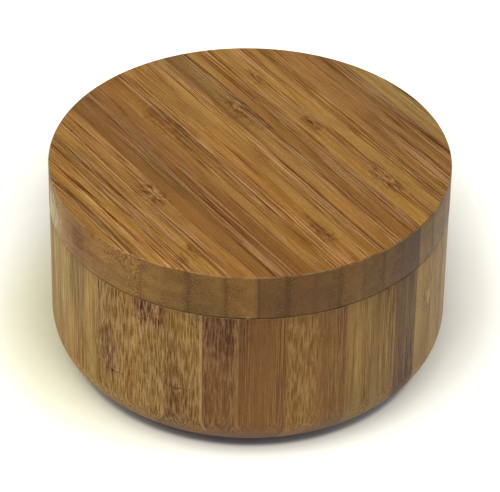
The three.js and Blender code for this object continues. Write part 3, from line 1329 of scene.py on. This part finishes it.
@dataclass
class Hardware:
    """The pin and the two magnets. Sizes are in metres."""

    SIDES = 96

    pin_chamfer: float = 0.4 * MM
    magnet_round: float = 0.3 * MM
    round_steps: int = 4
    steel: MetalFinish = MetalFinish("ground_steel", "b9bbbc", 0.28, 0.01 * MM)
    nickel: MetalFinish = MetalFinish("nickel_plate", "cfccc6", 0.16, 0.004 * MM)

    def build(self) -> None:
        """Makes the pin and both magnets."""
        self.make("swivel_pin", "pivot_pin", "lid", self.pin_chamfer, 1, self.steel)
        self.make("catch_magnet_lid", "lid_magnet", "lid", self.magnet_round, self.round_steps, self.nickel)
        self.make("catch_magnet_rim", "body_magnet", "pot", self.magnet_round, self.round_steps, self.nickel)

    @staticmethod
    def make(name: str, node: str, body: str, ease: float, segments: int, finish: MetalFinish) -> None:
        """A short round bar with eased ends in the place of a node.

        Args:
            name: the piece's name.
            node: the node that it stands for.
            body: the body that it rides on.
            ease: width of the eased edges.
            segments: steps in the eased edges.
            finish: its metal.
        """
        low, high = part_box(node)
        middle = (low + high) / 2
        Bench.clear()
        radius = (high.x - low.x) / 2
        bpy.ops.mesh.primitive_cylinder_add(
            vertices=Hardware.SIDES, radius=radius, depth=high.z - low.z, location=middle
        )
        bar = bpy.context.object
        bar.name = bar.data.name = name
        bpy.ops.object.transform_apply(location=True)
        Bench.edit()
        bpy.ops.mesh.select_all(action="DESELECT")
        Bench.leave()
        for edge in bar.data.edges:
            heights = [bar.data.vertices[v].co.z for v in edge.vertices]
            edge.select = abs(heights[0] - heights[1]) < LEVEL
        bpy.ops.object.mode_set(mode="EDIT")
        bpy.ops.mesh.select_mode(type="EDGE")
        bpy.ops.mesh.bevel(offset=ease, segments=segments, affect="EDGES")
        Bench.leave()
        Bench.smooth(bar)
        bar.data.materials.append(finish.build((middle.x, middle.y)))
        dress(bar, node, body)


def linked(name: str, data: bpy.types.ID) -> bpy.types.Object:
    """An object in the scene, made from its data.

    Args:
        name: the object's name.
        data: its camera or light.

    Returns:
        The object.
    """
    made = bpy.data.objects.new(name, data)
    bpy.context.scene.collection.objects.link(made)
    return made


@dataclass(frozen=True)
class PhotoCamera:
    """The camera of the photograph: a long lens, looking down at the lid.

    Attributes:
        azimuth: how far it stands round from -Y, in degrees.
        elevation: how far it looks down, in degrees.
        roll: how far the picture is turned, in degrees.
        distance: from the middle of the lid's top, in metres.
        lens: focal length for a 36 mm wide frame.
        slide: how far the camera is moved right and up from the line to the lid's middle, in metres.
    """

    azimuth: float = -34.2
    elevation: float = 36.27
    roll: float = 0.97
    distance: float = 816 * MM
    lens: float = 232.5
    slide: Point = (0.33 * MM, -22.5 * MM)

    FRAME = 36.0
    CLIP = (0.01, 20.0)

    def build(self, target: Vector) -> bpy.types.Object:
        """Makes the camera and sets it as the scene's.

        Args:
            target: the middle of the lid's top.

        Returns:
            The camera.
        """
        turn, tilt, roll = (math.radians(v) for v in (self.azimuth, self.elevation, self.roll))
        back = Vector((math.sin(turn) * math.cos(tilt), -math.cos(turn) * math.cos(tilt), math.sin(tilt)))
        level = Vector((math.cos(turn), math.sin(turn), 0.0))
        up = back.cross(level)
        place = target + back * self.distance + level * self.slide[0] + up * self.slide[1]
        right = level * math.cos(roll) + up * math.sin(roll)
        above = up * math.cos(roll) - level * math.sin(roll)
        data = bpy.data.cameras.new("photo_camera")
        data.lens = self.lens
        data.sensor_width = self.FRAME
        data.clip_start, data.clip_end = self.CLIP
        camera = linked("photo_camera", data)
        camera.matrix_world = Matrix((right, above, back)).transposed().to_4x4()
        camera.location = place
        bpy.context.scene.camera = camera
        return camera


@dataclass(frozen=True)
class Lamp:
    """A square soft lamp that looks at the pot.

    Attributes:
        name: its name.
        right: how far it hangs to the right of the pot in the photograph, in metres.
        away: how far beyond the pot.
        up: how high.
        size: its side.
        watts: its power.
    """

    name: str
    right: float
    away: float
    up: float
    size: float
    watts: float

    AIM = (0.0, 0.0, 0.03)

    def build(self, azimuth: float) -> None:
        """Hangs the lamp.

        Args:
            azimuth: the camera's, in degrees, which right and away go by.
        """
        turn = math.radians(azimuth)
        across = Vector((math.cos(turn), math.sin(turn), 0.0))
        beyond = Vector((-math.sin(turn), math.cos(turn), 0.0))
        place = across * self.right + beyond * self.away + Vector((0, 0, self.up))
        data = bpy.data.lights.new(self.name, "AREA")
        data.shape = "SQUARE"
        data.size = self.size
        data.energy = self.watts
        lamp = linked(self.name, data)
        lamp.location = place
        lamp.rotation_euler = (Vector(self.AIM) - place).to_track_quat("-Z", "Y").to_euler()


@dataclass
class Studio:
    """Pale floor, soft lamps and a bright surround. Sizes are in metres."""

    floor_size: float = 6.0
    floor_drop: float = 0.02 * MM
    floor_colour: str = "eeede3"
    tooth_colour: str = "ebeae0"
    tooth: Triple = (300.0, 300.0, 300.0)
    floor_roughness: float = 0.9
    floor_sheen: float = 0.1
    # Painted contact shadow on the floor round the foot: its bluish grey, the radii over which it fades out,
    # and how far its oval is drawn out across.
    contact_shadow_colour: str = "ccd0de"
    contact_shadow_reach: Point = (43.2 * MM, 45.1 * MM)
    contact_shadow_squash: float = 0.97
    # Painted shadow on the floor to the pot's left: its tint, the sideways reach over which it deepens, and
    # the radii over which it ends.
    left_shadow_tint: str = "f3f2d2"
    left_shadow_reach: Point = (0.0, -60 * MM)
    left_shadow_end: Point = (80 * MM, 56 * MM)
    # A glow on the floor, seen by the camera and, at a share, by reflections: partly the white backdrop,
    # partly painted light, as it rises with distance from a line under the pot and so sets where the pot's
    # shadow ends.
    lift_colour: str = "fffef6"
    lift_axis: Triple = (-1.5 * MM, 17 * MM, 55 * MM)
    lift_near: tuple[float, ...] = (48 * MM, 66 * MM, 0.04, 0.36)
    lift_far: tuple[float, ...] = (62 * MM, 76 * MM, 0.0, 0.3)
    lift_mirrored: float = 0.8
    sky_colour: str = "fdfbf4"
    horizon: Point = (0.2, 0.6)
    ambient: float = 0.40
    ceiling: float = 0.08
    lamps: tuple[Lamp, ...] = (
        Lamp("key_softbox", -0.45, -0.50, 1.15, 0.8, 8.5),
        Lamp("fill_softbox", 0.50, -0.45, 1.00, 0.8, 3.7),
    )

    def build(self, azimuth: float) -> None:
        """Makes the floor, the lamps and the world.

        Args:
            azimuth: the camera's, in degrees.
        """
        self.floor(azimuth)
        for lamp in self.lamps:
            lamp.build(azimuth)
        self.surround()
        bpy.context.scene.view_settings.view_transform = "Standard"

    @staticmethod
    def seen(sheet: ShaderSheet, mirrored: float = 1.0) -> Socket:
        """Who sees a light.

        Args:
            sheet: where the nodes go.
            mirrored: how much of it reflections see.

        Returns:
            1 for the camera, the share for reflections, 0 for the light on the object.
        """
        path = sheet.node("LightPath")
        seen = sheet.most(path.outputs["Is Camera Ray"], path.outputs["Is Transmission Ray"])
        return sheet.most(seen, sheet.times(path.outputs["Is Glossy Ray"], mirrored))

    def floor(self, azimuth: float) -> None:
        """The paper that the pot stands on, which keeps its shadow and turns white away from it; round the
        foot and to its left it has painted shadow, and its glow away from the pot is partly painted light.

        Args:
            azimuth: the camera's, in degrees.
        """
        Bench.clear()
        bpy.ops.mesh.primitive_plane_add(size=self.floor_size, location=(0, 0, -self.floor_drop))
        floor = bpy.context.object
        floor.name = "studio_floor"
        material, sheet, shader = ShaderSheet.material("studio_paper")
        place = sheet.node("TexCoord").outputs["Object"]
        tooth = sheet.between(sheet.noise(place, self.tooth), 0.3, 0.7)
        colour = sheet.mix(tooth, srgb(self.floor_colour), srgb(self.tooth_colour))
        turned = sheet.node("VectorRotate", rotation_type="Z_AXIS")
        sheet.feed(turned.inputs["Vector"], place)
        turned.inputs["Angle"].default_value = -math.radians(azimuth)
        right, beyond, _ = sheet.split(turned.outputs[0])
        # Painted shadow: inside an oval round the foot the floor is a bluish grey; clear is the share outside
        # it.
        reach = sheet.length(sheet.join(sheet.times(right, self.contact_shadow_squash), beyond, 0.0))
        clear = sheet.between(reach, *self.contact_shadow_reach)
        colour = sheet.mix(clear, srgb(self.contact_shadow_colour), colour)
        # Painted shadow: a greyish tint on the floor to the left of the pot, ending further out.
        ended = sheet.between(sheet.length(place), *self.left_shadow_end)
        tint = sheet.times(sheet.between(right, *self.left_shadow_reach), ended)
        colour = sheet.tint(tint, colour, self.left_shadow_tint)
        sheet.feed(shader["Base Color"], colour)
        sheet.feed(shader["Roughness"], self.floor_roughness)
        sheet.feed(shader["Specular IOR Level"], self.floor_sheen)
        # Painted light, partly the white backdrop: the floor glows outside the painted contact shadow, more
        # the further it is from the pot.
        side, near, far = self.lift_axis
        along = sheet.most(sheet.math("MINIMUM", beyond, far), near)
        away = sheet.length(sheet.join(sheet.total(right, -side), sheet.less(beyond, along), 0.0))
        lift = sheet.total(sheet.between(away, *self.lift_near), sheet.between(away, *self.lift_far))
        seen = self.seen(sheet, self.lift_mirrored)
        sheet.feed(shader["Emission Color"], srgb(self.lift_colour))
        sheet.feed(shader["Emission Strength"], sheet.times(sheet.times(lift, clear), seen))
        floor.data.materials.append(material)

    def surround(self) -> None:
        """A pale world that lights the pot evenly. Camera and reflections see it white, darker overhead."""
        world = bpy.data.worlds.new("studio_surround")
        bpy.context.scene.world = world
        world.use_nodes = True
        sheet = ShaderSheet(world.node_tree)
        background = world.node_tree.nodes["Background"]
        height = sheet.split(sheet.node("TexCoord").outputs["Generated"])[2]
        backdrop = sheet.between(height, *self.horizon, 1.0, self.ceiling)
        sheet.feed(background.inputs["Color"], srgb(self.sky_colour))
        sheet.feed(background.inputs["Strength"], sheet.lean(self.seen(sheet), self.ambient, backdrop))


def main() -> None:
    """Builds the pot and the studio round the frame."""
    logging.basicConfig(level=logging.INFO, format="%(name)s: %(message)s")
    figure = BambooFigure().build()
    Bowl().build(figure)
    lid = Lid()
    lid.build(figure)
    Hardware().build()
    camera = PhotoCamera()
    camera.build(Vector((0, 0, lid.high)))
    Studio().build(camera.azimuth)


if __name__ == "__main__":
    main()
